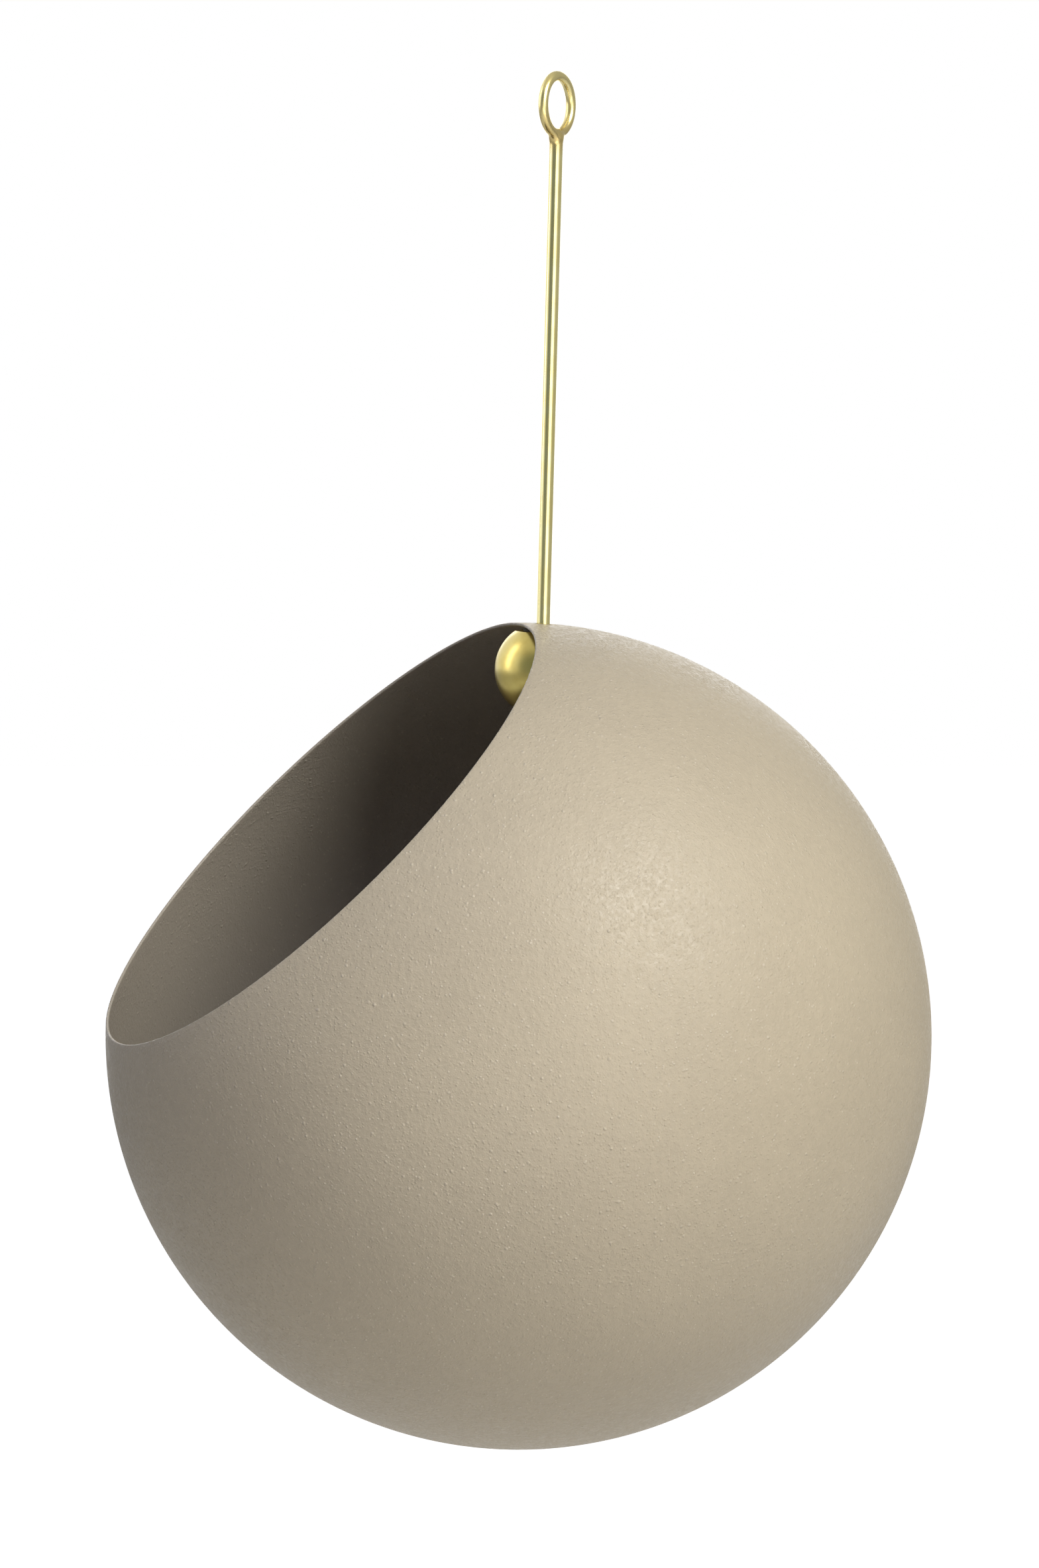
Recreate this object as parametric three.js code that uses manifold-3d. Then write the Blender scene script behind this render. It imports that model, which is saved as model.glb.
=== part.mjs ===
// A hanging planter: a thin sheet-metal globe with a round mouth in its upper side.
// A brass rod comes up through a small hole behind the mouth's edge.
// A ball on the rod's lower end stops the globe, and a ring on its upper end hangs on a hook.
//
// Millimetres, +Z up along the rod. The origin is the top of the ring's hole, where a hook bears.
// The mouth faces -X and up, and the globe is alike on both sides of the XZ plane.

import * as THREE from 'three';
import { mergeVertices } from 'three/addons/utils/BufferGeometryUtils.js';
import Module from 'manifold-3d';

// Globe
const GLOBE_RADIUS = 105;
const SHEET_THICKNESS = 0.8;
const MOUTH_RADIUS = 73.6;

// Hole for the rod: how far behind the mouth's edge it is drilled, measured along the sheet,
// and how far the rod leans from the sheet's own square at that place.
const HOLE_SETBACK = 5.6;
const HOLE_CLEARANCE = 0.3;
const ROD_LEAN = THREE.MathUtils.degToRad(1.96);

// Rod
const ROD_RADIUS = 1.7;
const ROD_REACH = 118.8;
const THREAD_DEPTH = 0.25;
const THREAD_LENGTH = 9;
const THREAD_CLEARANCE = 0.15;

// Ring that hangs on a hook, its neck, and its turn about the rod
const EYE_HOLE_RADIUS = 5.9;
const EYE_WIRE_RADIUS = 1.24;
const EYE_TURN = THREE.MathUtils.degToRad(45);
const NECK_HEIGHT = 3;
const NECK_FLARE = 0.5;

// Ball under the sheet
const BALL_RADIUS = 12;
const BALL_SEAT_RADIUS = 7;

// Soft washer between the ball and the sheet
const WASHER_LEAST_THICKNESS = 0.5;
const WASHER_INSET = 0.7;
const WASHER_CLEARANCE = 0.3;

// Fineness of the round forms
const GLOBE_SIDES = 64;
const GLOBE_RINGS = 28;
const LIP_STEPS = 4;
const ROD_SIDES = 24;
const EYE_STEPS = 48;
const EYE_SIDES = 16;
const BALL_SIDES = 40;
const BALL_RINGS = 18;
const WASHER_SIDES = 40;
const WASHER_RINGS = 3;
const NECK_STEPS = 5;

// The mouth's half angle seen from the globe's centre,
// and the tilt of the mouth's axis that brings the hole under the rod
const mouthAngle = Math.asin(MOUTH_RADIUS / GLOBE_RADIUS);
const mouthTilt = mouthAngle + HOLE_SETBACK / GLOBE_RADIUS - ROD_LEAN;

// Places along the rod, from the hook down
const eyeCentre = -EYE_HOLE_RADIUS;
const eyeRadius = EYE_HOLE_RADIUS + EYE_WIRE_RADIUS;
const eyeUnderside = eyeCentre - eyeRadius - EYE_WIRE_RADIUS;
const rodTop = eyeUnderside - NECK_HEIGHT;
const rodExit = rodTop - ROD_REACH;
const globeCentre = new THREE.Vector3(
  -GLOBE_RADIUS * Math.sin(ROD_LEAN),
  0,
  rodExit - GLOBE_RADIUS * Math.cos(ROD_LEAN),
);

// The washer fills the space between the ball's flat and a sphere just inside the sheet
const boreRadius = ROD_RADIUS + HOLE_CLEARANCE;
const washerRadius = HOLE_SETBACK - WASHER_INSET;
const washerDome = GLOBE_RADIUS - SHEET_THICKNESS - WASHER_CLEARANCE;
const ballSeat = domeHeight(washerRadius, 0) - WASHER_LEAST_THICKNESS;
const ballCentre = ballSeat - Math.sqrt(BALL_RADIUS ** 2 - BALL_SEAT_RADIUS ** 2);

// The rod's threaded end goes down into the ball
const threadRadius = ROD_RADIUS - THREAD_DEPTH;
const rodBottom = ballSeat - THREAD_LENGTH;

// Finishes, one for each kind of surface
const coat = finish('powder_coat', 0xb9ad93, 0.75, 0);
const polishedBrass = finish('polished_brass', 0xd8c272, 0.15, 1);
const satinBrass = finish('satin_brass', 0xc9b360, 0.4, 1);
const softSeat = finish('soft_seat', 0x2c2b29, 0.8, 0);

const wasm = await Module();
wasm.setup();

function finish(name, color, roughness, metalness) {
  return new THREE.MeshStandardMaterial({ name, color, roughness, metalness });
}

// Height of the washer's domed top above a point beside the rod
function domeHeight(x, y) {
  const fromCentre = (x - globeCentre.x) ** 2 + (y - globeCentre.y) ** 2;
  return globeCentre.z + Math.sqrt(washerDome ** 2 - fromCentre);
}

// Only positions are kept, and shared corners become one vertex, so that the body is closed
function closed(geometry) {
  geometry.deleteAttribute('normal');
  geometry.deleteAttribute('uv');
  return mergeVertices(geometry, 1e-4);
}

function toSolid(geometry) {
  const body = closed(geometry);
  return new wasm.Manifold(new wasm.Mesh({
    numProp: 3,
    vertProperties: new Float32Array(body.attributes.position.array),
    triVerts: new Uint32Array(body.index.array),
  }));
}

function toGeometry(solid) {
  const mesh = solid.getMesh();
  const geometry = new THREE.BufferGeometry();
  geometry.setAttribute('position', new THREE.BufferAttribute(mesh.vertProperties, 3));
  geometry.setIndex(new THREE.BufferAttribute(mesh.triVerts, 1));
  return geometry;
}

// A profile of (radius, height) points turned about Z. It runs up the outside, so the faces point out.
function turned(profile, sides) {
  return closed(new THREE.LatheGeometry(profile, sides).rotateX(Math.PI / 2));
}

// Points on an arc about the axis, as (radius, height); angles are measured from straight up
function arc(radius, from, to, steps, centreRadius = 0, centreHeight = 0) {
  const points = [];
  for (let i = 0; i <= steps; i += 1) {
    const angle = from + (to - from) * (i / steps);
    const across = centreRadius + radius * Math.sin(angle);
    points.push(new THREE.Vector2(Math.max(across, 0), centreHeight + radius * Math.cos(angle)));
  }
  return points;
}

function pieceOf(name, geometry, material) {
  const mesh = new THREE.Mesh(geometry, material);
  mesh.name = name;
  return mesh;
}

// The sheet's outside runs from the bottom up to the mouth, rounds the edge and comes back inside.
// It is turned about the mouth's axis, laid over in its group, and drilled along the rod.
function makeGlobe() {
  const half = SHEET_THICKNESS / 2;
  const middle = GLOBE_RADIUS - half;
  const outside = arc(GLOBE_RADIUS, Math.PI, mouthAngle, GLOBE_RINGS);
  const inside = arc(GLOBE_RADIUS - SHEET_THICKNESS, mouthAngle, Math.PI, GLOBE_RINGS);
  const lip = arc(
    half,
    mouthAngle,
    mouthAngle - Math.PI,
    LIP_STEPS,
    middle * Math.sin(mouthAngle),
    middle * Math.cos(mouthAngle),
  ).slice(1, -1);
  const shell = turned([...outside, ...lip, ...inside], GLOBE_SIDES);

  const globe = new THREE.Group();
  globe.position.copy(globeCentre);
  globe.rotation.y = -mouthTilt;
  globe.updateMatrix();
  const drill = new THREE.CylinderGeometry(boreRadius, boreRadius, GLOBE_RADIUS, ROD_SIDES)
    .rotateX(Math.PI / 2)
    .translate(0, 0, rodExit)
    .applyMatrix4(globe.matrix.clone().invert());
  const drilled = toGeometry(toSolid(shell).subtract(toSolid(drill)));
  globe.add(pieceOf('globe_shell', drilled, coat));
  return globe;
}

// The rod is plain down to the ball's flat, then a thinner threaded end
function makeRod() {
  const profile = [
    new THREE.Vector2(0, rodBottom),
    new THREE.Vector2(threadRadius, rodBottom),
    new THREE.Vector2(threadRadius, ballSeat),
    new THREE.Vector2(ROD_RADIUS, ballSeat),
    new THREE.Vector2(ROD_RADIUS, rodTop),
    new THREE.Vector2(0, rodTop),
  ];
  return pieceOf('hanging_rod', turned(profile, ROD_SIDES), polishedBrass);
}

// A ring of round wire, joined to a neck that flares from the rod's end and closes inside the wire
function makeEye() {
  const ring = new THREE.TorusGeometry(eyeRadius, EYE_WIRE_RADIUS, EYE_SIDES, EYE_STEPS)
    .rotateX(Math.PI / 2)
    .translate(0, 0, eyeCentre);
  const widest = new THREE.Vector2(ROD_RADIUS + NECK_FLARE, eyeUnderside);
  const crown = eyeUnderside + EYE_WIRE_RADIUS;
  const flare = new THREE.QuadraticBezierCurve(
    new THREE.Vector2(ROD_RADIUS, rodTop),
    new THREE.Vector2(ROD_RADIUS, eyeUnderside - NECK_HEIGHT / 2),
    widest,
  );
  const dome = new THREE.QuadraticBezierCurve(
    widest,
    new THREE.Vector2(widest.x, crown),
    new THREE.Vector2(0, crown),
  );
  const profile = [
    new THREE.Vector2(0, rodTop),
    ...flare.getPoints(NECK_STEPS),
    ...dome.getPoints(NECK_STEPS).slice(1),
  ];
  const eye = toSolid(ring).add(toSolid(turned(profile, ROD_SIDES)));
  const mesh = pieceOf('hanging_eye', toGeometry(eye), polishedBrass);
  mesh.rotation.z = EYE_TURN;
  return mesh;
}

// A ball with a flat seat on top and a blind hole for the rod's threaded end
function makeBall() {
  const boreBottom = rodBottom - THREAD_CLEARANCE;
  const threadBore = threadRadius + THREAD_CLEARANCE;
  const seatAngle = Math.asin(BALL_SEAT_RADIUS / BALL_RADIUS);
  const profile = [
    ...arc(BALL_RADIUS, Math.PI, seatAngle, BALL_RINGS, 0, ballCentre),
    new THREE.Vector2(threadBore, ballSeat),
    new THREE.Vector2(threadBore, boreBottom),
    new THREE.Vector2(0, boreBottom),
  ];
  return pieceOf('stop_ball', turned(profile, BALL_SIDES), satinBrass);
}

// A flat ring on the ball's seat, whose top is raised to follow the inside of the sheet
function makeWasher() {
  const top = [];
  for (let i = 0; i <= WASHER_RINGS; i += 1) {
    const radius = THREE.MathUtils.lerp(washerRadius, boreRadius, i / WASHER_RINGS);
    top.push(new THREE.Vector2(radius, ballSeat + WASHER_LEAST_THICKNESS));
  }
  const profile = [
    new THREE.Vector2(boreRadius, ballSeat),
    new THREE.Vector2(washerRadius, ballSeat),
    ...top,
    new THREE.Vector2(boreRadius, ballSeat),
  ];
  const washer = turned(profile, WASHER_SIDES);
  const place = washer.attributes.position;
  for (let i = 0; i < place.count; i += 1) {
    if (place.getZ(i) > ballSeat + WASHER_LEAST_THICKNESS / 2) {
      place.setZ(i, domeHeight(place.getX(i), place.getY(i)));
    }
  }
  return pieceOf('seat_washer', washer, softSeat);
}

const planter = new THREE.Group();
planter.name = 'hanging_planter';
planter.add(makeGlobe(), makeRod(), makeEye(), makeBall(), makeWasher());

export default planter;
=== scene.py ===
# %% [markdown]
# # A hanging planter, dressed in Blender
# The planter is a thin sheet-metal globe with a round mouth cut slantwise out of its upper side. A slim
# brass rod comes up through a small hole behind the mouth's edge. A ball on the rod's lower end stops the
# globe from sliding off, and a ring on its upper end hangs on a hook.
#
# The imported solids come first, as a frame that is never moved. They could be shown as they are, but they
# are coarse and plain. So each piece below replaces one of them, at the same place, with a finer shape and
# a real finish.

import math
from contextlib import contextmanager

import bmesh
import bpy
import numpy as np
from mathutils import Matrix, Vector


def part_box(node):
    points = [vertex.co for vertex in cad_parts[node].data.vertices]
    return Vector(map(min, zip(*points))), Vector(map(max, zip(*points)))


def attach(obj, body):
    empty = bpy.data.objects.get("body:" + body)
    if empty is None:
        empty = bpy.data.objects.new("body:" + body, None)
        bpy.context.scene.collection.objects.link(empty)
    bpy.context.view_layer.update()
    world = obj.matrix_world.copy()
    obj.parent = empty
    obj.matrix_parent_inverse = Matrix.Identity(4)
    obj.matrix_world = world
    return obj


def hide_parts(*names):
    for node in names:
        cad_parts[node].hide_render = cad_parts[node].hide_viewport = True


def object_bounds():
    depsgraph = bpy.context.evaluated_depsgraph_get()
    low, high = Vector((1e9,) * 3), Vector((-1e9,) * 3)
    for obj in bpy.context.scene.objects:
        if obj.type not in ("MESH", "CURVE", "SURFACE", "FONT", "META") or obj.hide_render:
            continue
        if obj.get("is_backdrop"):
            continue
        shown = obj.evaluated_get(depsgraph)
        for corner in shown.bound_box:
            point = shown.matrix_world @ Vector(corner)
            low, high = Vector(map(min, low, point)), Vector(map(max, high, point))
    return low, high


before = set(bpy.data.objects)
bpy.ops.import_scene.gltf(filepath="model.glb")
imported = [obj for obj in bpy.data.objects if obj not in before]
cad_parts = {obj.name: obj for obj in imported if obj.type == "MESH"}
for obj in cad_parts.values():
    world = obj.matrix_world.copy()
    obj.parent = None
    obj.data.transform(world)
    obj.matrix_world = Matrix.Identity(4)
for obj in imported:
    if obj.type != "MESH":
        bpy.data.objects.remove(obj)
cad_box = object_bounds()

# %% [markdown]
# ## Meshes from corners and faces
# Every piece is a mesh: a list of corners, and a list of faces that join them. `from_pydata` takes both as
# they are. Blender shades each face flat unless it is told otherwise, and smooth shading alone would make a
# machined edge look melted. So `shade` smooths everything, and then marks the edges that turn sharply.
#
# The Shade Auto Smooth operator does the same by hand. A script is better off without operators, because
# they act on whatever is selected.

# %% Smooth meshes
MM = 0.001
SHARP_EDGE = math.radians(40)


def shade(mesh):
    """Smooth shading that breaks at sharp edges."""
    mesh.polygons.foreach_set("use_smooth", [True] * len(mesh.polygons))
    mesh.set_sharp_from_angle(angle=SHARP_EDGE)


def as_piece(name, corners, faces):
    """A new object of these corners and faces, smooth except where it turns a sharp edge."""
    mesh = bpy.data.meshes.new(name)
    mesh.from_pydata(corners, [], faces)
    shade(mesh)
    piece = bpy.data.objects.new(name, mesh)
    bpy.context.scene.collection.objects.link(piece)
    return piece


print(f"edges stay crisp from {math.degrees(SHARP_EDGE):.0f} degrees up")

# %% [markdown]
# ## Turned forms
# Nearly every piece of this planter is round about some axis: it was spun, drawn or turned on a lathe. The
# Screw modifier could make such forms, but a lathe of our own is as short, and it says where each ring of
# faces lies. A profile is a list of (radius, height) points, and `turned` spins it about Z. Where the
# profile meets the axis, the ring shrinks to a single corner, so the pole stays clean.

# %% A small lathe
ON_AXIS = 1e-9


def arc(radius, start, end, steps, across=0.0, height=0.0):
    """Points (radius, height) along an arc about (across, height). Angles count from straight up."""
    angles = np.linspace(start, end, steps + 1)
    return [(across + radius * math.sin(a), height + radius * math.cos(a)) for a in angles]


def turned(name, profile, sides, loop=False):
    """Spins (radius, height) points about Z.

    A profile that runs up the outside makes faces that point out. With loop, its end joins its start.
    """
    corners = []
    rings = []
    for radius, height in profile:
        count = sides if radius > ON_AXIS else 1
        rings.append(range(len(corners), len(corners) + count))
        for i in range(count):
            angle = 2 * math.pi * i / sides
            corners.append((radius * math.cos(angle), radius * math.sin(angle), height))
    faces = []
    following = rings[1:] + rings[:1] if loop else rings[1:]
    for low, high in zip(rings, following):
        for i in range(sides):
            j = (i + 1) % sides
            quad = low[i % len(low)], low[j % len(low)], high[j % len(high)], high[i % len(high)]
            faces.append(tuple(dict.fromkeys(quad)))
    return as_piece(name, corners, faces)


print("lathe ready")

# %% [markdown]
# ## Standing for a solid
# A finished piece has to move as its solid does. It could be parented by hand, but the frame's own calls
# also write down which body it rides on and which solid it hides. The distance that is printed says how
# well the piece fills the box of its solid.

# %% Pieces in place of solids
def stands_for(piece, node, body):
    """The piece rides on a body in place of a CAD node. Prints how far the two boxes differ."""
    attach(piece, body)
    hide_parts(node)
    corners = np.array([corner.co for corner in piece.data.vertices])
    low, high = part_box(node)
    off = max(abs(corners.min(axis=0) - low).max(), abs(corners.max(axis=0) - high).max())
    print(f"{piece.name}: {len(piece.data.polygons)} faces, box within {off / MM:.2f} mm of {node}")


# %% [markdown]
# ## Hanging eye, as a distance
# The ring on top is round brass wire, bent to a circle and brazed to the rod. The braze leaves no edge:
# ring and rod melt into each other in a small fillet.
#
# A Boolean union with a bevel along its seam is the usual way, but bevels tend to break at such a saddle.
# So the form is written as a distance instead. `eye_distance` says how far a point is from the nearer of
# ring and neck. Where both are about as near, it takes a little off, and that fills the corner.

# %% Ring and neck as a distance
EYE_HOLE_RADIUS = 5.9 * MM
EYE_WIRE_RADIUS = 1.24 * MM
EYE_TURN = math.radians(45)
NECK_HEIGHT = 3 * MM
ROD_RADIUS = 1.7 * MM
BRAZE = 2.0 * MM

eye_centre = -EYE_HOLE_RADIUS
eye_radius = EYE_HOLE_RADIUS + EYE_WIRE_RADIUS
eye_underside = eye_centre - eye_radius - EYE_WIRE_RADIUS
rod_top = eye_underside - NECK_HEIGHT
neck_dome = eye_underside + EYE_WIRE_RADIUS - ROD_RADIUS
ring_level = np.array([math.cos(EYE_TURN), math.sin(EYE_TURN), 0.0])
ring_axis = np.array([-math.sin(EYE_TURN), math.cos(EYE_TURN), 0.0])


def eye_distance(points):
    """Distance of each point from ring and neck, which melt into each other over BRAZE."""
    from_centre = np.hypot(points @ ring_level, points[:, 2] - eye_centre)
    ring = np.hypot(from_centre - eye_radius, points @ ring_axis) - EYE_WIRE_RADIUS
    over_dome = np.maximum(points[:, 2] - neck_dome, 0)
    neck = np.sqrt(points[:, 0] ** 2 + points[:, 1] ** 2 + over_dome**2) - ROD_RADIUS
    melt = np.clip(1 - abs(ring - neck) / BRAZE, 0, None)
    return np.minimum(ring, neck) - melt**2 * BRAZE / 4


print(f"eye: hole {2 * EYE_HOLE_RADIUS / MM:.1f} mm across, wire {2 * EYE_WIRE_RADIUS / MM:.2f} mm")

# %% [markdown]
# ## Hanging eye, roughed out
# A distance has no faces yet. The mesh starts as a ring and a post that run through each other, as the two
# lie before they are brazed. Drawing the skin round both by hand would be slow, and the Remesh modifier
# lays it in one go, in small even quads. The post reaches lower than the neck, so that its end can be cut
# off cleanly.

# %% Rough ring on a post
EYE_STEPS = 96
WIRE_STEPS = 24
POST_SIDES = 32
DOME_STEPS = 8
EYE_VOXEL = 0.14 * MM


@contextmanager
def reshaping(mesh):
    """Opens a mesh for bmesh's tools, and then writes what they did back to it."""
    form = bmesh.new()
    form.from_mesh(mesh)
    yield form
    form.to_mesh(mesh)
    form.free()


def worked_in(piece):
    """The piece's mesh with its modifiers worked in. They are then taken off the piece."""
    depsgraph = bpy.context.evaluated_depsgraph_get()
    mesh = bpy.data.meshes.new_from_object(piece.evaluated_get(depsgraph))
    piece.modifiers.clear()
    return mesh


wire = arc(EYE_WIRE_RADIUS, math.pi, -math.pi, WIRE_STEPS, across=eye_radius)[:-1]
eye = turned("hanging_eye_ring", wire, EYE_STEPS, loop=True)
turned_eye = Matrix.Translation((0, 0, eye_centre)) @ Matrix.Rotation(EYE_TURN, 4, "Z")
eye.data.transform(turned_eye @ Matrix.Rotation(math.pi / 2, 4, "X"))
post_bottom = rod_top - NECK_HEIGHT
profile = [
    (0, post_bottom),
    (ROD_RADIUS, post_bottom),
    (ROD_RADIUS, neck_dome),
    *arc(ROD_RADIUS, math.pi / 2, 0, DOME_STEPS, height=neck_dome)[1:-1],
    (0, neck_dome + ROD_RADIUS),
]
post = turned("post", profile, POST_SIDES)
with reshaping(eye.data) as rough:
    rough.from_mesh(post.data)
bpy.data.objects.remove(post)
eye.modifiers.new("skin", "REMESH").voxel_size = EYE_VOXEL
eye.data = worked_in(eye)
print("rough eye:", len(eye.data.polygons), "faces")

# %% [markdown]
# ## Hanging eye, slid on to its form
# The skin lies near the form but not on it. Each corner now slides along the distance's slope until the
# distance is zero. Before each slide the corners are evened out, so that no face stays squeezed. A
# Shrinkwrap modifier slides corners too, but it needs a finished mesh to slide on to, and there is none.
# At last the lower end is cut flat, where the rod begins.

# %% Skin of ring and neck
SLIDES = 3
SMOOTHINGS = 4
SLOPE_STEP = 0.01 * MM


def slide_on_to_form(points):
    """Moves points along the distance's slope until they lie on the form."""
    for _ in range(SLIDES):
        slope = np.stack([
            (eye_distance(points + step) - eye_distance(points - step)) / (2 * SLOPE_STEP)
            for step in np.eye(3) * SLOPE_STEP
        ], axis=1)
        points = points - eye_distance(points)[:, None] * slope / (slope**2).sum(axis=1)[:, None]
    return points


def even_out(mesh):
    """Moves each corner half way to the middle of its neighbours."""
    every_way = {"use_axis_x": True, "use_axis_y": True, "use_axis_z": True}
    with reshaping(mesh) as form:
        bmesh.ops.smooth_vert(form, verts=form.verts, factor=0.5, **every_way)


def cut_flat(mesh, height):
    """Cuts off what lies below a height and closes the cut."""
    level = {"plane_co": (0, 0, height), "plane_no": (0, 0, 1)}
    with reshaping(mesh) as form:
        everything = form.verts[:] + form.edges[:] + form.faces[:]
        cut = bmesh.ops.bisect_plane(form, geom=everything, clear_inner=True, **level)
        rim = [part for part in cut["geom_cut"] if isinstance(part, bmesh.types.BMEdge)]
        bmesh.ops.edgeloop_fill(form, edges=rim)


for _ in range(SMOOTHINGS):
    even_out(eye.data)
    points = slide_on_to_form(np.array([corner.co for corner in eye.data.vertices]))
    eye.data.vertices.foreach_set("co", points.ravel())
cut_flat(eye.data, rod_top)
shade(eye.data)
stands_for(eye, "hanging_eye", "hanger")

# %% [markdown]
# ## Hanging rod
# The rod is plain drawn brass, but for its lower end, which is cut with a screw thread for the ball. The
# Screw modifier could sweep the thread, as a coil that then has to be joined to the rod. Here rod and
# thread are one closed mesh: the lower end is turned in fine rows, and each of their corners is pressed in
# by how far its angle and its height together have gone through a turn of the thread. The thread fades out
# at both ends, as a cut one does.

# %% Rod with its threaded end
ROD_SIDES = 96
THREAD_RADIUS = 1.45 * MM
THREAD_PITCH = 0.5 * MM
THREAD_CUT = 0.28 * MM
ROWS_PER_TURN = 8
END_CHAMFER = 0.3 * MM

rod_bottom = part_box("hanging_rod")[0].z
ball_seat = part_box("stop_ball")[1].z
thread_length = ball_seat - rod_bottom


def thread_depth(angle, height):
    """How deep the thread is cut below THREAD_RADIUS, from 0 on the crest to THREAD_CUT in the groove."""
    turn = (height / THREAD_PITCH - angle / (2 * math.pi)) % 1
    groove = THREAD_CUT * abs(2 * turn - 1)
    to_end = min(height - rod_bottom, ball_seat - height)
    return groove * min(max(to_end / THREAD_PITCH, 0), 1)


rows = round(thread_length / THREAD_PITCH * ROWS_PER_TURN)
thread = [(THREAD_RADIUS, rod_bottom + thread_length * i / rows) for i in range(rows + 1)]
thread[0] = (THREAD_RADIUS - END_CHAMFER, rod_bottom)
profile = [(0, rod_bottom), *thread, (ROD_RADIUS, ball_seat), (ROD_RADIUS, rod_top), (0, rod_top)]
rod = turned("hanging_rod_drawn", profile, ROD_SIDES)
for corner in rod.data.vertices:
    x, y, z = corner.co
    radius = math.hypot(x, y)
    if ON_AXIS < radius < THREAD_RADIUS + ON_AXIS and rod_bottom < z < ball_seat:
        cut = 1 - thread_depth(math.atan2(y, x), z) / radius
        corner.co = x * cut, y * cut, z
shade(rod.data)
print(f"thread: {thread_length / THREAD_PITCH:.0f} turns")
stands_for(rod, "hanging_rod", "hanger")

# %% [markdown]
# ## Stop ball
# The ball is a brass knob from the lathe. Its top is faced off to a flat seat with a slightly rounded edge,
# and a blind hole with a chamfered mouth takes the rod's thread. A UV sphere, cut by a plane and drilled by
# a Boolean, would come close. One profile is simpler, and it gives the seat's edge its true round.

# %% Ball with a flat seat
BALL_RADIUS = 12 * MM
BALL_SIDES = 128
BALL_RINGS = 72
SEAT_RADIUS = 7 * MM
SEAT_EDGE = 0.35 * MM
EDGE_STEPS = 6
BORE_RADIUS = 1.6 * MM
BORE_CHAMFER = 0.25 * MM
BORE_SPARE = 0.15 * MM

ball_centre = ball_seat - math.sqrt(BALL_RADIUS**2 - SEAT_RADIUS**2)
bore_bottom = rod_bottom - BORE_SPARE
edge_height = ball_seat - SEAT_EDGE
edge_across = math.sqrt((BALL_RADIUS - SEAT_EDGE) ** 2 - (edge_height - ball_centre) ** 2)
edge_angle = math.atan2(edge_across, edge_height - ball_centre)
profile = [
    (0, ball_centre - BALL_RADIUS),
    *arc(BALL_RADIUS, math.pi, edge_angle, BALL_RINGS, height=ball_centre)[1:],
    *arc(SEAT_EDGE, edge_angle, 0, EDGE_STEPS, across=edge_across, height=edge_height)[1:],
    (BORE_RADIUS + BORE_CHAMFER, ball_seat),
    (BORE_RADIUS, ball_seat - BORE_CHAMFER),
    (BORE_RADIUS, bore_bottom),
    (0, bore_bottom),
]
ball = turned("stop_ball_turned", profile, BALL_SIDES)
stands_for(ball, "stop_ball", "hanger")

# %% [markdown]
# ## Globe
# The globe is spun from thin sheet. A sphere with a Solidify modifier would do for the sheet, but not for
# the lip, which is round. So the outside and the inside are two arcs a sheet's thickness apart, joined at
# the mouth by a small half circle. They make one closed profile, which is turned about the mouth's axis.
# Laid over by the mouth's tilt, the shell brings the place for the hole under the rod.

# %% Shell with its mouth
GLOBE_RADIUS = 105 * MM
SHEET = 0.8 * MM
MOUTH_RADIUS = 73.6 * MM
HOLE_SETBACK = 5.6 * MM
ROD_LEAN = math.radians(1.96)
ROD_REACH = 118.8 * MM
GLOBE_SIDES = 256
GLOBE_RINGS = 128
LIP_STEPS = 10

mouth_angle = math.asin(MOUTH_RADIUS / GLOBE_RADIUS)
mouth_tilt = mouth_angle + HOLE_SETBACK / GLOBE_RADIUS - ROD_LEAN
rod_exit = rod_top - ROD_REACH
centre_height = rod_exit - GLOBE_RADIUS * math.cos(ROD_LEAN)
globe_centre = Vector((-GLOBE_RADIUS * math.sin(ROD_LEAN), 0, centre_height))

middle = GLOBE_RADIUS - SHEET / 2
lip_middle = {"across": middle * math.sin(mouth_angle), "height": middle * math.cos(mouth_angle)}
profile = [
    (0, -GLOBE_RADIUS),
    *arc(GLOBE_RADIUS, math.pi, mouth_angle, GLOBE_RINGS)[1:],
    *arc(SHEET / 2, mouth_angle, mouth_angle - math.pi, LIP_STEPS, **lip_middle)[1:-1],
    *arc(GLOBE_RADIUS - SHEET, mouth_angle, math.pi, GLOBE_RINGS)[:-1],
    (0, SHEET - GLOBE_RADIUS),
]
globe = turned("globe_shell_spun", profile, GLOBE_SIDES)
globe.data.transform(Matrix.Translation(globe_centre) @ Matrix.Rotation(-mouth_tilt, 4, "Y"))
print(f"mouth tilted by {math.degrees(mouth_tilt):.1f} degrees")

# %% [markdown]
# ## Hole for the rod
# The hole is drilled just behind the mouth's edge, a little wider than the rod. The faces round it could be
# cut by hand, but a Boolean with a cylinder along the rod is exact, and it leaves the rest of the shell's
# even rings as they are. It may also leave two corners on top of each other, so they are welded.

# %% Hole behind the mouth's edge
HOLE_CLEARANCE = 0.3 * MM
DRILL_SIDES = 64
WELD = 0.002 * MM

hole_radius = ROD_RADIUS + HOLE_CLEARANCE


def drilled(piece, drill):
    """The piece's mesh with the drill's form taken out. The drill is used up."""
    cut = piece.modifiers.new("drill", "BOOLEAN")
    cut.operation = "DIFFERENCE"
    cut.solver = "EXACT"
    cut.object = drill
    mesh = worked_in(piece)
    bpy.data.objects.remove(drill)
    with reshaping(mesh) as form:
        bmesh.ops.remove_doubles(form, verts=form.verts, dist=WELD)
    return mesh


drill_low = rod_exit - HOLE_SETBACK
drill_high = rod_exit + HOLE_SETBACK
profile = [(0, drill_low), (hole_radius, drill_low), (hole_radius, drill_high), (0, drill_high)]
globe.data = drilled(globe, turned("drill", profile, DRILL_SIDES))
shade(globe.data)
stands_for(globe, "globe_shell", "globe")

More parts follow.
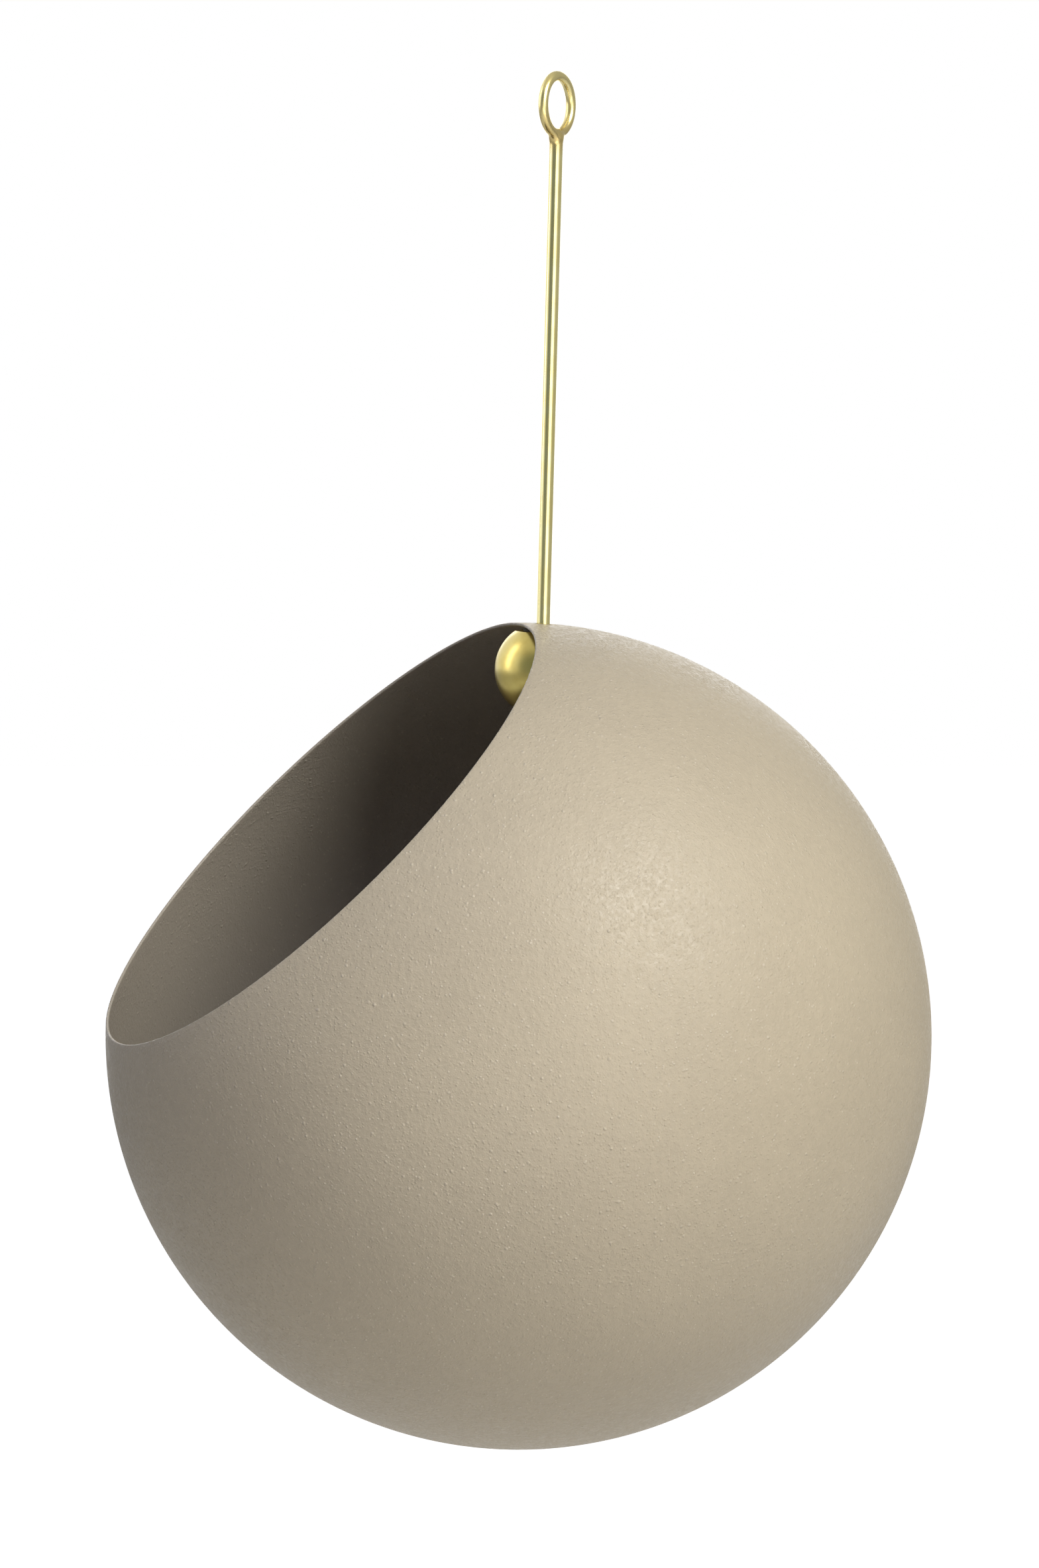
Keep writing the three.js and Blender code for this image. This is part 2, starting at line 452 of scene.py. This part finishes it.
# %% [markdown]
# ## Seat washer
# A soft washer lies between the ball's flat and the sheet, so that the brass doesn't bite the coating. It
# is cut flat and pressed to the inside of the globe. A cloth or soft-body simulation would find that shape,
# but it is known beforehand: a flat ring, whose upper corners are raised to a sphere just inside the sheet.

# %% Washer under the sheet
WASHER_INSET = 0.7 * MM
WASHER_LEAST = 0.5 * MM
WASHER_CLEARANCE = 0.3 * MM
WASHER_RINGS = 8
WASHER_SIDES = 96

washer_radius = HOLE_SETBACK - WASHER_INSET
washer_dome = GLOBE_RADIUS - SHEET - WASHER_CLEARANCE
washer_top = ball_seat + WASHER_LEAST
crown = [
    (washer_radius + (hole_radius - washer_radius) * i / WASHER_RINGS, washer_top)
    for i in range(WASHER_RINGS + 1)
]
profile = [(hole_radius, ball_seat), (washer_radius, ball_seat), *crown]
washer = turned("seat_washer_cut", profile, WASHER_SIDES, loop=True)
for corner in washer.data.vertices:
    if corner.co.z > (ball_seat + washer_top) / 2:
        across = (corner.co - globe_centre).xy.length
        corner.co.z = globe_centre.z + math.sqrt(washer_dome**2 - across**2)
shade(washer.data)
stands_for(washer, "seat_washer", "seat")

# %% [markdown]
# ## Sums in a material
# A material is a net of nodes. Made node by node, even a short sum fills half a page, so sums are written
# as sums: `Value` wraps a node's output, and `1 - mask` or `grain * 0.5` then adds a Math node. Each
# operator that is used has its mirror image, for a plain number on the left.

# %% Values that add Math nodes
class Value:
    """A value on its way through a finish. Sums on it add Math nodes."""

    def __init__(self, finish, socket):
        self.finish = finish
        self.socket = socket

    def maths(self, operation, first, second):
        return self.finish.node("Math", {"operation": operation}, {0: first, 1: second})

    def __add__(self, other):
        return self.maths("ADD", self, other)

    def __sub__(self, other):
        return self.maths("SUBTRACT", self, other)

    def __rsub__(self, other):
        return self.maths("SUBTRACT", other, self)

    def __mul__(self, other):
        return self.maths("MULTIPLY", self, other)

    def __gt__(self, other):
        return self.maths("GREATER_THAN", self, other)

    def __lt__(self, other):
        return self.maths("LESS_THAN", self, other)

    __radd__ = __add__
    __rmul__ = __mul__


print("values ready")

# %% [markdown]
# ## Nodes of a finish
# `Finish.node` adds any other node: its kind, its settings, and what goes into its sockets. Settings come
# first, because a setting such as a Mix node's data type decides which sockets there are. Colours are
# blended with Mix nodes, since a Math node would turn them grey.

# %% Finishes
class Finish:
    """A net of nodes in the making, for a material or for the world."""

    def __init__(self, owner):
        owner.use_nodes = True
        self.owner = owner
        self.tree = owner.node_tree
        self.tree.nodes.clear()

    def node(self, kind, settings=None, sockets=None, out=0):
        """Adds a node and returns one of its outputs. Settings are set first, then the sockets."""
        made = self.tree.nodes.new("ShaderNode" + kind)
        for name, setting in (settings or {}).items():
            setattr(made, name, setting)
        for name, value in (sockets or {}).items():
            if isinstance(value, Value):
                self.tree.links.new(value.socket, made.inputs[name])
            else:
                made.inputs[name].default_value = value
        return Value(self, made.outputs[out]) if len(made.outputs) else None

    def vector(self, operation, first, second, out=0):
        """Vector Math on places or directions."""
        return self.node("VectorMath", {"operation": operation}, {0: first, 1: second}, out)

    def blend(self, mask, first, second):
        """A colour between two others: the first where the mask is 0, the second where it is 1."""
        return self.node("Mix", {"data_type": "RGBA"}, {0: mask, 6: first, 7: second}, out=2)

    def noise(self, place, size, detail=2.0, roughness=0.5):
        """Soft noise from 0 to 1, whose lumps are about so many metres across."""
        lumps = {"Vector": place, "Scale": 1 / size, "Detail": detail, "Roughness": roughness}
        return self.node("TexNoise", {}, lumps)

    def ease(self, value, start, end):
        """0 below start, 1 above end, and a smooth rise between them."""
        rise = {"Value": value, "From Min": start, "From Max": end}
        return self.node("MapRange", {"interpolation_type": "SMOOTHSTEP"}, rise)

    def surface(self, sockets):
        """Ends a material in a Principled shader."""
        shader = self.node("BsdfPrincipled", {}, sockets)
        self.node("OutputMaterial", {}, {"Surface": shader})
        return self.owner


print("finishes ready")

# %% [markdown]
# ## Powder coat: its grains
# The globe is coated in a warm taupe, inside and out. The powder melts on the hot sheet, but not to a
# smooth film. Up close there are pebbles under a millimetre across, some higher than others, with finer
# grit between them. Every few millimetres sits a larger nib, and once in a hand's breadth a chip, where
# dirt lay under the coat.
#
# Such grains could be scattered as real bumps, but that would take millions of faces. A Voronoi texture
# gives them for nothing: the distance to a cell's own point makes a round dome, and the cell's random
# colour says how high it is, or whether it is there at all. Soft noise pushes the cells about, and they are
# turned askew to the axes, so that no rows show.

# %% Grains of the coat
GRIT_CELL = 0.44 * MM
GRIT_RADIUS = 0.29 * MM
PEBBLE_CELL = 0.74 * MM
PEBBLE_RADIUS = 0.38 * MM
GLINT_LOT = 0.94
NIB_CELL = 2.3 * MM
NIB_RADIUS = 0.55 * MM
NIB_LOT = 0.3
CHIP_CELL = 30 * MM
CHIP_RADIUS = 1.1 * MM
CHIP_LOT = 0.5
CHIP_WANDER = 2.4 * MM
GRAIN_WANDER = 0.2 * MM
WANDER_SIZE = 1.8 * MM
SKEW = (0.5, 0.7, 0.3)

coat = Finish(bpy.data.materials.new("powder_coat_taupe"))
place = coat.node("TexCoord", out="Object")


def jumbled(finish, place, size, by):
    """The same places, pushed about by soft noise."""
    wander = finish.node("TexNoise", {}, {"Vector": place, "Scale": 1 / size, "Detail": 1.0}, out="Color")
    return finish.node("VectorMath", {"operation": "MULTIPLY_ADD"}, {0: wander, 1: (by,) * 3, 2: place})


def domes(finish, place, cell, radius):
    """Round domes from 0 to 1, one to a cell of that size, and a random number for each cell."""
    cells = {"Vector": place, "Scale": 1 / cell}
    distance = finish.node("TexVoronoi", {}, cells)
    colour = finish.node("TexVoronoi", {}, cells, out="Color")
    return 1 - finish.ease(distance, 0, radius / cell), finish.node("SeparateColor", {}, {"Color": colour})


skewed = coat.node("VectorRotate", {"rotation_type": "EULER_XYZ"}, {"Vector": place, "Rotation": SKEW})
strewn = jumbled(coat, skewed, WANDER_SIZE, GRAIN_WANDER)
grit, grit_size = domes(coat, strewn, GRIT_CELL, GRIT_RADIUS)
pebbles, pebble_size = domes(coat, strewn, PEBBLE_CELL, PEBBLE_RADIUS)
# A few of the highest pebbles, which get a paler colour below as a painted highlight.
painted_glints = pebbles * (pebble_size > GLINT_LOT)
nibs, nib_lot = domes(coat, strewn, NIB_CELL, NIB_RADIUS)
nibs = nibs * (nib_lot > NIB_LOT)
frayed = jumbled(coat, place, CHIP_RADIUS, CHIP_WANDER)
chips, chip_lot = domes(coat, frayed, CHIP_CELL, CHIP_RADIUS)
chips = chips * (chip_lot > CHIP_LOT)
print(f"pebbles {2 * PEBBLE_RADIUS / MM:.2f} mm across, nibs {2 * NIB_RADIUS / MM:.1f} mm")

# %% [markdown]
# ## Powder coat: its relief
# The relief is a sum of the grains' heights, in millimetres, so each can be read as a real one. Under them
# the film itself is wavy, which coaters call orange peel. A displaced mesh could carry all of it, but it is
# far thinner than the sheet and no outline shows it. So a Bump node gives it, which only turns the light.

# %% Relief of the coat
GRIT_HEIGHT = 0.042
GRIT_LEAST = 0.15
PEBBLE_HEIGHT = 0.11
NIB_HEIGHT = 0.15
CHIP_HEIGHT = 0.2
CREVICE_DEPTH = 0.35
PEEL = 1.2 * MM
PEEL_HEIGHT = 0.05

peel = coat.noise(place, PEEL, detail=1.0)
crevices = chips * coat.ease(peel, 0.45, 0.6)
relief = grit * (GRIT_LEAST + grit_size) * GRIT_HEIGHT + pebbles * pebble_size * PEBBLE_HEIGHT
relief = relief + coat.ease(peel, 0.3, 0.7) * PEEL_HEIGHT
relief = relief + nibs * NIB_HEIGHT + chips * CHIP_HEIGHT - crevices * CREVICE_DEPTH
coat_bump = coat.node("Bump", {}, {"Strength": 1.0, "Distance": MM, "Height": relief})
print(f"relief: grit {GRIT_HEIGHT} mm, pebbles {PEBBLE_HEIGHT} mm, nibs {NIB_HEIGHT} mm")

# %% [markdown]
# ## Powder coat: its tone and gloss
# The tone drifts in soft patches a few centimetres wide, with a finer mottle and some change from grain to
# grain. The inside is the same coat, and its cooler tone is painted shade. Nibs and a few glints are paler,
# which is a painted highlight, and the crevices in a chip are darker, which is painted shade. One colour
# with a noise over it would look like paper, so each of these is a blend on its own mask.
#
# Gloss changes from grain to grain as well, and that is what makes a powder coat sparkle where a lamp is
# mirrored, and look matt elsewhere.

# %% Tone and gloss of the coat
COAT = (0.515, 0.446, 0.338, 1)
COAT_THIN = (0.435, 0.376, 0.287, 1)
# The inside is the same coat as the outside. This cooler tone is painted shade, for the shade inside the
# globe.
COAT_INSIDE_PAINTED_SHADE = (0.46, 0.41, 0.345, 1)
# Nibs and glints are blended towards this paler colour: a painted highlight on their tops.
COAT_PAINTED_HIGHLIGHT = (0.68, 0.62, 0.52, 1)
# Crevices in a chip are blended towards this dark colour: painted shade in the recesses.
CREVICE_PAINTED_SHADE = (0.17, 0.145, 0.11, 1)
PATCH = 35 * MM
MOTTLE = 2.4 * MM

patches = coat.noise(place, PATCH, detail=3.0)
mottle = coat.ease(coat.noise(place, MOTTLE, detail=3.0, roughness=0.75), 0.35, 0.65)
tone = 0.3 * coat.ease(patches, 0.25, 0.75) + 0.25 * grit_size + 0.25 * mottle
colour = coat.blend(tone, COAT_THIN, COAT)
from_centre = coat.vector("DISTANCE", place, globe_centre, out="Value")
inside = from_centre < GLOBE_RADIUS - SHEET / 2
# The inside takes the cooler tone: painted shade.
colour = coat.blend(inside, colour, COAT_INSIDE_PAINTED_SHADE)
# Paler nibs and glints: painted highlight.
colour = coat.blend(nibs * 0.3 + painted_glints * 0.65, colour, COAT_PAINTED_HIGHLIGHT)
# Darker crevices: painted shade.
colour = coat.blend(crevices * 0.8, colour, CREVICE_PAINTED_SHADE)
globe.data.materials.append(coat.surface({
    "Base Color": colour,
    "Roughness": 0.24 + 0.06 * patches + 0.20 * grit_size + 0.25 * pebble_size,
    "Normal": coat_bump,
    "Specular IOR Level": 0.34,
}))
print("powder coat:", len(coat.tree.nodes), "nodes")

# %% [markdown]
# ## Polished brass
# Rod and ring are polished, so what they show is mostly the room. Drawn wire keeps faint long lines, which
# are noise stretched along the rod. Brass that is handled dulls in soft patches. The heat of brazing leaves
# the ring a little duller and the neck warmer, which two materials could show with a hard seam between
# them. One material that follows the height above the rod's end has no seam.

# %% Polished brass
POLISHED = (0.80, 0.72, 0.36, 1)
POLISHED_WARM = (0.77, 0.67, 0.30, 1)
BRAZED = (0.63, 0.48, 0.20, 1)
DRAWN_LINES = 0.5 * MM
DRAWN_STRETCH = (1, 1, 0.04)
DRAWN_DEPTH = 0.001 * MM
POLISHED_TARNISH = 5 * MM

polished = Finish(bpy.data.materials.new("polished_brass_drawn"))
place = polished.node("TexCoord", out="Object")
lines = polished.noise(polished.vector("MULTIPLY", place, DRAWN_STRETCH), DRAWN_LINES)
tarnish = polished.noise(place, POLISHED_TARNISH, detail=3.0)
height = polished.node("SeparateXYZ", {}, {"Vector": place}, out="Z")
ring = polished.ease(height, rod_top - BRAZE, rod_top + BRAZE)
heated = ring * (1 - polished.ease(height, eye_underside, eye_centre))
colour = polished.blend(polished.ease(tarnish, 0.35, 0.7), POLISHED, POLISHED_WARM)
colour = polished.blend(0.25 * ring + 0.55 * heated, colour, BRAZED)
polished_brass = polished.surface({
    "Base Color": colour,
    "Metallic": 1.0,
    "Roughness": 0.12 + 0.08 * tarnish + 0.12 * ring,
    "Normal": polished.node("Bump", {}, {"Strength": 0.3, "Distance": DRAWN_DEPTH, "Height": lines}),
})
eye.data.materials.append(polished_brass)
rod.data.materials.append(polished_brass)
print("polished brass:", len(polished.tree.nodes), "nodes")

# %% [markdown]
# ## Satin brass
# The ball was only smoothed on the lathe, so it is satin, and it blurs what it shows. Fine rings run round
# its axis. An anisotropic shader could blur along them, but the rings are so faint that a bump does: noise
# that is squeezed along the axis and drawn out across it.

# %% Satin brass
SATIN = (0.65, 0.54, 0.18, 1)
SATIN_WARM = (0.59, 0.47, 0.14, 1)
LATHE_LINES = 0.2 * MM
LATHE_STRETCH = (0.05, 0.05, 1)
LATHE_DEPTH = 0.02 * MM
SATIN_TARNISH = 4 * MM

satin = Finish(bpy.data.materials.new("satin_brass_turned"))
place = satin.node("TexCoord", out="Object")
lines = satin.noise(satin.vector("MULTIPLY", place, LATHE_STRETCH), LATHE_LINES)
tarnish = satin.noise(place, SATIN_TARNISH, detail=3.0)
ball.data.materials.append(satin.surface({
    "Base Color": satin.blend(satin.ease(tarnish, 0.35, 0.7), SATIN, SATIN_WARM),
    "Metallic": 1.0,
    "Roughness": 0.25 + 0.08 * tarnish,
    "Normal": satin.node("Bump", {}, {"Strength": 0.5, "Distance": LATHE_DEPTH, "Height": lines}),
}))
print("satin brass:", len(satin.tree.nodes), "nodes")

# %% [markdown]
# ## Rubber
# The washer is hidden between ball and sheet, and shows only when the globe is lifted. Its rubber is dark
# and matt, with a light dust of talc. One noise is enough for both: where it is high there is dust, which
# is paler, rougher and slightly raised.

# %% Rubber
RUBBER = (0.028, 0.027, 0.026, 1)
RUBBER_DUSTED = (0.06, 0.058, 0.055, 1)
DUST = 1.2 * MM
DUST_DEPTH = 0.03 * MM

rubber = Finish(bpy.data.materials.new("soft_seat_rubber"))
place = rubber.node("TexCoord", out="Object")
dust = rubber.noise(place, DUST, detail=4.0)
washer.data.materials.append(rubber.surface({
    "Base Color": rubber.blend(rubber.ease(dust, 0.4, 0.75), RUBBER, RUBBER_DUSTED),
    "Roughness": 0.7 + 0.2 * dust,
    "Normal": rubber.node("Bump", {}, {"Strength": 0.4, "Distance": DUST_DEPTH, "Height": dust}),
}))
print("rubber:", len(rubber.tree.nodes), "nodes")

# %% [markdown]
# ## Floor
# The planter hangs well clear of a plain pale floor, which bounces a little light up and takes a soft
# shadow. A studio has a paper sweep behind it, so that no edge shows. Here the floor is a flat square that
# glows a little for the camera, and more so further out, where it runs into the white background. Metal
# sees it glow too. From below the floor is clear, because a hanging thing is also looked at from there.

# %% Floor
FLOOR_DROP = 0.40
FLOOR_SIDE = 12.0
FLOOR_COLOUR = (0.80, 0.80, 0.79, 1)
FLOOR_GLOW = 0.35
FLOOR_IN_METAL = 0.32
GLOW_START = 0.4
GLOW_END = 1.6

floor_height = cad_box[0].z - FLOOR_DROP
half = FLOOR_SIDE / 2
outline = [(-half, -half), (half, -half), (half, half), (-half, half)]
floor = as_piece("floor", [(x, y, floor_height) for x, y in outline], [(0, 1, 2, 3)])
floor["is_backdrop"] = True

pale = Finish(bpy.data.materials.new("pale_floor"))
flat_place = pale.vector("MULTIPLY", pale.node("TexCoord", out="Object"), (1, 1, 0))
from_middle = pale.node("VectorMath", {"operation": "LENGTH"}, {0: flat_place}, out="Value")
in_view = pale.node("LightPath", out="Is Camera Ray")
in_metal = pale.node("LightPath", out="Is Glossy Ray")
glow = in_view * (FLOOR_GLOW + (1 - FLOOR_GLOW) * pale.ease(from_middle, GLOW_START, GLOW_END))
glow = glow + in_metal * FLOOR_IN_METAL
paint = pale.node("BsdfDiffuse", {}, {"Color": FLOOR_COLOUR})
lit = pale.node("AddShader", {}, {0: paint, 1: pale.node("Emission", {}, {"Color": glow, "Strength": 1.0})})
from_below = pale.node("NewGeometry", out="Backfacing")
top = pale.node("MixShader", {}, {0: from_below, 1: lit, 2: pale.node("BsdfTransparent")})
pale.node("OutputMaterial", {}, {"Surface": top})
floor.data.materials.append(pale.owner)
print(f"floor {FLOOR_DROP} m below the globe")

# %% [markdown]
# ## Room
# The room is white where the camera looks. Metal shows the room too, and a polished rod reads as a rod only
# if that room has light and dark sides. A photograph of a studio would serve, but four soft round patches
# on grey walls are enough: a pale one on the left, a dim one on the right, a dark one where the camera
# stands, and a bright one beside it.
#
# The world gives the coat almost no light of its own, or the inside of the globe would lose its depth.

# %% Room
AMBIENT = 0.012
AMBIENT_COLOUR = (1, 0.99, 0.97, 1)
WHITE = (1, 1, 1, 1)
WALLS = (0.72, 0.70, 0.64, 1)
PALE_SIDE = (1.12, 1.13, 1.20, 1)
DIM_SIDE = (0.50, 0.50, 0.47, 1)
DARK_SIDE = (0.26, 0.29, 0.30, 1)
BRIGHT_SIDE = (2.1, 2.15, 2.3, 1)


def towards(azimuth, elevation):
    """The direction at that azimuth and elevation, in degrees. Azimuth 0 is in front, along -Y."""
    a = math.radians(azimuth)
    e = math.radians(elevation)
    return Vector((math.sin(a) * math.cos(e), -math.cos(a) * math.cos(e), math.sin(e)))


world = bpy.data.worlds.new("studio")
bpy.context.scene.world = world
studio = Finish(world)
looking = studio.node("TexCoord", out="Generated")


def patch(azimuth, elevation, edge, core):
    """1 in a round patch of the room, fading out from its core to its edge. All in degrees."""
    nearness = studio.vector("DOT_PRODUCT", looking, towards(azimuth, elevation), out="Value")
    return studio.ease(nearness, math.cos(math.radians(edge)), math.cos(math.radians(core)))


walls = studio.blend(patch(azimuth=-125, elevation=0, edge=65, core=45), WALLS, PALE_SIDE)
walls = studio.blend(patch(azimuth=115, elevation=0, edge=75, core=40), walls, DIM_SIDE)
walls = studio.blend(patch(azimuth=-42, elevation=10, edge=46, core=20), walls, DARK_SIDE)
walls = studio.blend(patch(azimuth=13, elevation=2, edge=28, core=17), walls, BRIGHT_SIDE)
room = studio.node("Background", {}, {"Color": walls, "Strength": 1.0})
ambient = studio.node("Background", {}, {"Color": AMBIENT_COLOUR, "Strength": AMBIENT})
white = studio.node("Background", {}, {"Color": WHITE, "Strength": 1.0})
in_metal = studio.node("LightPath", out="Is Glossy Ray")
in_view = studio.node("LightPath", out="Is Camera Ray")
unseen = studio.node("MixShader", {}, {0: in_metal, 1: ambient, 2: room})
surroundings = studio.node("MixShader", {}, {0: in_view, 1: unseen, 2: white})
studio.node("OutputWorld", {}, {"Surface": surroundings})
print("room:", len(studio.tree.nodes), "nodes")

# %% [markdown]
# ## Lamps
# Five soft lamps light the globe: a main one high on the right, a cool one high on the left, a tall strip
# far on the left, a low wide one in front, and one behind for the far side. A sun or a point lamp would
# draw hard edges, and a softbox has a size, as in a studio. Each is placed by its azimuth and elevation
# about the globe.
#
# Two of them do only half of a lamp's work. The cool one leaves no image of itself in metal, and the strip
# is there only for its image: the streak on the satin ball.

# %% Lamps
LAMP_DISTANCE = 1.5


def softbox(name, at, size, power, colour, lights_matt=True, shows_in_metal=True):
    """A soft rectangular lamp that faces the globe from (azimuth, elevation). The camera doesn't see it."""
    lamp = bpy.data.lights.new(name, "AREA")
    lamp.shape = "RECTANGLE"
    lamp.size = size[0]
    lamp.size_y = size[1]
    lamp.energy = power
    lamp.color = colour
    box = bpy.data.objects.new(name, lamp)
    box.location = globe_centre + towards(*at) * LAMP_DISTANCE
    box.rotation_mode = "QUATERNION"
    box.rotation_quaternion = (globe_centre - box.location).to_track_quat("-Z", "Y")
    box.visible_camera = False
    box.visible_diffuse = lights_matt
    box.visible_glossy = shows_in_metal
    bpy.context.scene.collection.objects.link(box)
    print(f"{name}: {power} W from {at[0]}, {at[1]} degrees")


softbox("main_high_right", at=(26, 40), size=(0.7, 0.7), power=20.4, colour=(1, 0.985, 0.92))
softbox("cool_high_left", at=(-50, 48), size=(1.0, 1.0), power=6.3, colour=(0.75, 0.79, 0.97),
        shows_in_metal=False)
softbox("strip_left", at=(-110, 25), size=(0.26, 1.2), power=3.4, colour=(1, 0.96, 0.92),
        lights_matt=False)
softbox("low_front", at=(0, -11), size=(1.6, 0.36), power=5.7, colour=(1, 0.95, 0.87))
softbox("behind", at=(165, 10), size=(1.2, 1.2), power=8.0, colour=(1, 1, 1))

# %% [markdown]
# ## Camera
# The camera looks slightly down, past the globe's mouth. A long lens keeps the globe's outline nearly
# round. The real planter hangs a little askew, with its weight under the hook. Leaning the pieces would
# take them out of the frame, so the camera is rolled by that lean instead.

# %% Camera
LENS = 100.0
SENSOR = 36.0
CAMERA_PLACE = Vector((-303.8, -1059.5, -71.2)) * MM
CAMERA_AZIMUTH = -15.744
CAMERA_ELEVATION = 5.483
CAMERA_ROLL = math.radians(1.523)

camera = bpy.data.objects.new("camera", bpy.data.cameras.new("camera"))
camera.data.lens = LENS
camera.data.sensor_width = SENSOR
camera.location = CAMERA_PLACE
camera.rotation_mode = "QUATERNION"
level = (-towards(CAMERA_AZIMUTH, CAMERA_ELEVATION)).to_track_quat("-Z", "Y")
camera.rotation_quaternion = level @ Matrix.Rotation(CAMERA_ROLL, 3, "Z").to_quaternion()
bpy.context.scene.collection.objects.link(camera)
bpy.context.scene.camera = camera
bpy.context.scene.view_settings.view_transform = "Standard"
print("camera at", [round(c, 4) for c in camera.location])

# %% [markdown]
# ## Sizes
# Dressing must not change the planter's size. The box round the solids was kept at the start, and it is
# written next to the box round the finished pieces. The two could be compared by eye in the viewport, but a
# tenth of a millimetre doesn't show there.

# %% Sizes
visual_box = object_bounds()
grown = (visual_box[1] - visual_box[0]) - (cad_box[1] - cad_box[0])
print("grown by, in mm:", [round(side / MM, 3) for side in grown])
